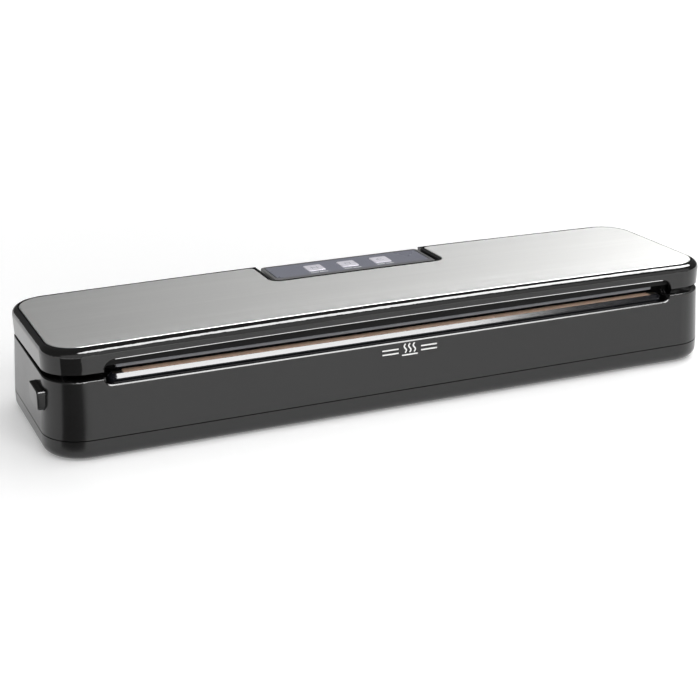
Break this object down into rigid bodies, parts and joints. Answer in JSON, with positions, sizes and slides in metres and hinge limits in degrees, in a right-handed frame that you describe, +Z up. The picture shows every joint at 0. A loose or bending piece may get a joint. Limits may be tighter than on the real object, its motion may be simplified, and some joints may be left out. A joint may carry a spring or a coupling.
{
  "type": "vacuum sealer",
  "caption": "Slim countertop vacuum sealer: long black case, hinged lid with a brushed steel plate, front bag slot over a sealing bar, rear key panel and a release button on the left end.",
  "frame": {"origin": "on the table plane under the middle of the case, at the bottom centre of the whole object's box", "axes": "+X along the length towards the power inlet end, +Y towards the hinge at the rear, -Y towards the bag slot at the front, +Z up"},
  "size_m": [0.3819, 0.102, 0.059],
  "materials": {
    "case_black": "satin black moulded case",
    "console_grey": "satin dark grey",
    "lid_black": "polished black lid rim",
    "inner_black": "plain matt black",
    "brushed_top": "brushed along the length",
    "seal_bar_black": "glossy heat-resistant bar",
    "heater_metal": "nickel-chrome ribbon",
    "tape_brown": "woven glass cloth with a non-stick coating",
    "brass": "plain",
    "gasket_foam": "soft closed-cell foam",
    "silicone_grey": "grey silicone",
    "foot_rubber": "matt",
    "screw_steel": "zinc plated",
    "panel_gloss": "glossy blue-grey film",
    "key_silver": "light silver-grey caps",
    "board_green": "glass-epoxy board",
    "component_dark": "moulded components",
    "pump_plastic": "natural nylon",
    "hose_clear": "silicone hose",
    "core_steel": "laminated core",
    "coil_wrap": "yellow winding tape",
    "lead_red": "insulated wire"
  },
  "bodies": {
    "base": {"base_shell": "case_black", "bottom_pan": "case_black", "rubber_feet": "foot_rubber", "case_screws": "screw_steel", "seal_bar": "seal_bar_black", "heating_ribbon": "heater_metal", "sealing_tape": "tape_brown", "heater_terminals": "brass", "lower_gasket": "gasket_foam", "vacuum_nozzle": "pump_plastic", "console_housing": "console_grey", "panel_overlay": "panel_gloss", "key_board": "board_green", "key_switches": "component_dark", "pump_motor": "screw_steel", "pump_crankcase": "pump_plastic", "pump_diaphragm": "foot_rubber", "pump_valve_cover": "pump_plastic", "air_hose": "hose_clear", "transformer_core": "core_steel", "transformer_coil": "coil_wrap", "main_board": "board_green", "board_parts": "component_dark", "power_inlet": "inner_black", "inlet_pins": "brass", "lid_switch": "component_dark", "mains_leads": "lead_red", "motor_leads": "lead_red", "heater_leads": "lead_red", "hinge_pins": "screw_steel", "release_spring": "screw_steel"},
    "lid": {"lid_shell": "lid_black", "steel_plate": "brushed_top", "lid_liner": "inner_black", "upper_gasket": "gasket_foam", "pressure_strip": "silicone_grey", "lid_hinge_arms": "pump_plastic", "latch_hooks": "screw_steel", "lid_screws": "screw_steel"},
    "release": {"release_button": "case_black", "release_rod": "screw_steel", "latch_slider_left": "screw_steel", "latch_slider_right": "screw_steel"},
    "left_key": {"key_left": "key_silver"},
    "middle_key": {"key_middle": "key_silver"},
    "right_key": {"key_right": "key_silver"},
    "pump_crank": {"motor_shaft": "screw_steel", "crank_disc": "pump_plastic"}
  },
  "joints": [
    {"name": "lid_hinge", "type": "hinge", "parent": "base", "child": "lid", "pos_m": [0, 0.0486, 0.0424], "axis": [-1, 0, 0], "range_deg": [-1.5, 85]},
    {"name": "release_slide", "type": "slide", "parent": "base", "child": "release", "axis": [1, 0, 0], "range_m": [0, 0.0025], "stiffness_N_per_m": 500, "springref_m": -0.002, "deforming": ["release_spring"]},
    {"name": "left_key_press", "type": "slide", "parent": "base", "child": "left_key", "axis": [0, 0, -1], "range_m": [0, 0.0005], "stiffness_N_per_m": 600, "springref_m": -0.0005},
    {"name": "middle_key_press", "type": "slide", "parent": "base", "child": "middle_key", "axis": [0, 0, -1], "range_m": [0, 0.0005], "stiffness_N_per_m": 600, "springref_m": -0.0005},
    {"name": "right_key_press", "type": "slide", "parent": "base", "child": "right_key", "axis": [0, 0, -1], "range_m": [0, 0.0005], "stiffness_N_per_m": 600, "springref_m": -0.0005},
    {"name": "pump_crank_spin", "type": "hinge", "parent": "base", "child": "pump_crank", "pos_m": [-0.1, 0.024, 0.021], "axis": [1, 0, 0], "continuous": true}
  ]
}
